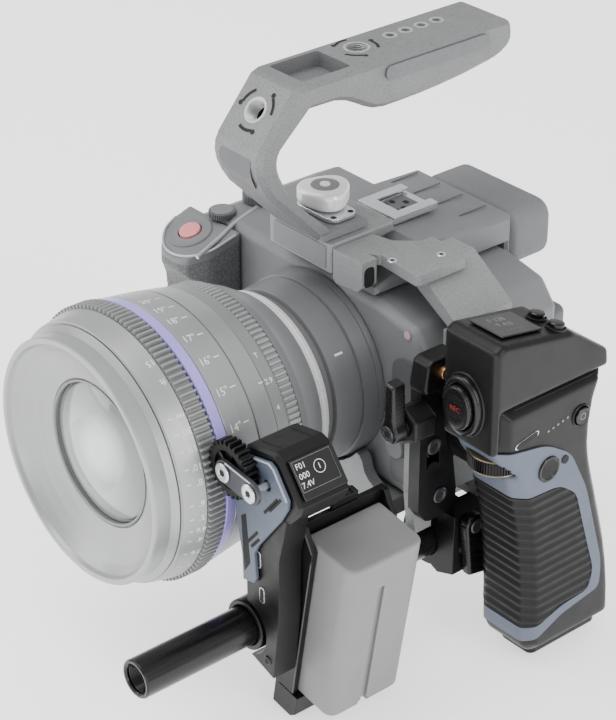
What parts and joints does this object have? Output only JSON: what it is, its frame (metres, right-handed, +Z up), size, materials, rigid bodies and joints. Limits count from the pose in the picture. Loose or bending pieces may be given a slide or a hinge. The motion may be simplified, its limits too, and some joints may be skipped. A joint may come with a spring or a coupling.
{
  "type": "cinema camera rig",
  "caption": "Hybrid camera in a half cage with a large cine lens, top handle, rod-mounted focus motor with a battery, and a side handgrip.",
  "frame": {"origin": "tripod face under the cage's base plate, below the lens axis", "axes": "+Z up, -Y the way the lens points, +X the side that carries the focus motor and the handgrip"},
  "size_m": [0.1918, 0.2305, 0.2137],
  "materials": {
    "lensGrey": "satin anodised",
    "glass": "polished, coated",
    "lensDark": "satin anodised, knurled",
    "lavender": "satin paint",
    "silver": "bright turned",
    "cameraGrey": "fine matt grain",
    "gripGrey": "pebbled matt",
    "pink": "glossy",
    "padGrey": "matt",
    "screen": "glossy dark cover",
    "cageGrey": "bead-blasted anodised",
    "handleGrey": "bead-blasted anodised",
    "black": "black hard-anodised, satin",
    "brass": "satin",
    "charcoal": "fine matt grain",
    "blueGrey": "satin",
    "gunmetal": "brushed, dark anodised",
    "battery": "satin",
    "rubber": "matt, ribbed"
  },
  "bodies": {
    "rig": {"front_ring": "lensGrey", "front_glass": "glass", "accent_ring": "lavender", "scale_barrel": "lensGrey", "rear_barrel": "lensGrey", "silver_ring": "silver", "mount_adapter": "cameraGrey", "camera_body": "cameraGrey", "camera_grip": "gripGrey", "body_mount_ring": "cameraGrey", "viewfinder_housing": "cameraGrey", "eyecup": "padGrey", "hot_shoe": "silver", "cage_base": "cageGrey", "cage_side_plate": "cageGrey", "cage_arm": "cageGrey", "cage_top_plate": "cageGrey", "handle_frame": "handleGrey", "handle_pad_left": "padGrey", "handle_pad_right": "padGrey", "lock_base": "silver", "bracket_plate": "black", "bracket_block": "black", "clamp_hub": "black", "rod_clamp": "black", "support_rod": "black"},
    "focus_ring": {"focus_ring": "lensGrey", "focus_gear": "lensDark"},
    "iris_ring": {"iris_ring": "lensDark"},
    "record_button": {"record_button": "pink"},
    "mode_dial": {"mode_dial": "cameraGrey"},
    "rear_screen": {"rear_screen": "screen"},
    "lock_knob": {"lock_knob": "silver"},
    "hub_lever": {"hub_lever": "black"},
    "release_button": {"safety_pin": "brass"},
    "rod_lever": {"rod_clamp_lever": "black"},
    "handgrip": {"rosette_boss": "black", "grip_head": "charcoal", "grip_body": "charcoal", "bottom_cap": "black", "grip_band": "blueGrey", "grip_rubber": "rubber", "grip_display": "screen", "rec_ring": "black"},
    "rec_button": {"rec_button": "black"},
    "menu_button_1": {"menu_button_1": "black"},
    "menu_button_2": {"menu_button_2": "black"},
    "thumb_wheel": {"thumb_wheel": "brass"},
    "power_button": {"power_button": "black"},
    "motor": {"motor_clamp": "black", "motor_housing": "charcoal", "motor_side_plate": "blueGrey", "motor_display": "screen", "gear_link": "gunmetal", "link_screw": "silver", "battery_plate": "black"},
    "drive_gear": {"drive_gear": "black", "gear_shaft": "silver"},
    "battery": {"battery": "battery"},
    "battery_latch": {"battery_latch": "black"}
  },
  "joints": [
    {"name": "focus_turn", "type": "hinge", "parent": "rig", "child": "focus_ring", "pos_m": [0, -0.13, 0.047], "axis": [0, 1, 0], "range_deg": [0, 300]},
    {"name": "iris_turn", "type": "hinge", "parent": "rig", "child": "iris_ring", "pos_m": [0, -0.086, 0.047], "axis": [0, 1, 0], "range_deg": [0, 66]},
    {"name": "record_button_press", "type": "slide", "parent": "rig", "child": "record_button", "axis": [0, 0.3133, -0.9496], "range_m": [0, 0.001], "stiffness_N_per_m": 300},
    {"name": "mode_dial_turn", "type": "hinge", "parent": "rig", "child": "mode_dial", "pos_m": [-0.062, -0.014, 0.0884], "axis": [0, 0, 1], "range_deg": [-150, 150]},
    {"name": "screen_swing", "type": "hinge", "parent": "rig", "child": "rear_screen", "pos_m": [0.058, 0.0376, 0.042], "axis": [0, 0, -1], "range_deg": [0, 175]},
    {"name": "lock_knob_turn", "type": "hinge", "parent": "rig", "child": "lock_knob", "pos_m": [-0.0065, -0.027, 0.1135], "axis": [0, 0, 1], "range_deg": [0, 120]},
    {"name": "hub_lever_turn", "type": "hinge", "parent": "rig", "child": "hub_lever", "pos_m": [0.0744, -0.063, 0.0612], "axis": [0, 1, 0], "range_deg": [-90, 10]},
    {"name": "release_press", "type": "slide", "parent": "rig", "child": "release_button", "axis": [-1, 0, 0], "range_m": [0, 0.0018], "stiffness_N_per_m": 300},
    {"name": "rod_lever_turn", "type": "hinge", "parent": "rig", "child": "rod_lever", "pos_m": [0.079, -0.027, 0.008], "axis": [1, 0, 0], "range_deg": [0, 90]},
    {"name": "grip_tilt", "type": "hinge", "parent": "rig", "child": "handgrip", "pos_m": [0.0775, -0.022, 0.046], "axis": [1, 0, 0], "range_deg": [-15, 15]},
    {"name": "rec_press", "type": "slide", "parent": "handgrip", "child": "rec_button", "axis": [0, 1, 0], "range_m": [0, 0.0012], "stiffness_N_per_m": 300},
    {"name": "menu_1_press", "type": "slide", "parent": "handgrip", "child": "menu_button_1", "axis": [0, -0.1794, -0.9838], "range_m": [0, 0.0007], "stiffness_N_per_m": 300},
    {"name": "menu_2_press", "type": "slide", "parent": "handgrip", "child": "menu_button_2", "axis": [0, -0.1794, -0.9838], "range_m": [0, 0.0007], "stiffness_N_per_m": 300},
    {"name": "thumb_wheel_turn", "type": "hinge", "parent": "handgrip", "child": "thumb_wheel", "pos_m": [0.097, -0.0345, 0.05], "axis": [0, 0, 1], "continuous": true},
    {"name": "power_press", "type": "slide", "parent": "handgrip", "child": "power_button", "axis": [-1, 0, 0], "range_m": [0, 0.0007], "stiffness_N_per_m": 300},
    {"name": "motor_swing", "type": "hinge", "parent": "rig", "child": "motor", "pos_m": [0.06, -0.116, -0.0047], "axis": [0, 1, 0], "range_deg": [0, 15]},
    {"name": "drive_turn", "type": "hinge", "parent": "motor", "child": "drive_gear", "pos_m": [0.06095, -0.126, 0.06482], "axis": [0, 1, 0], "range_deg": [-1526, 1]},
    {"name": "battery_slide", "type": "slide", "parent": "motor", "child": "battery", "axis": [0.1616, 0, 0.9869], "range_m": [0, 0.012]},
    {"name": "latch_lift", "type": "slide", "parent": "motor", "child": "battery_latch", "axis": [0.1616, 0, 0.9869], "range_m": [0, 0.002], "stiffness_N_per_m": 300}
  ],
  "couplings": [
    {"joint": "drive_turn", "follows": "focus_turn", "ratio": -5.0769}
  ]
}
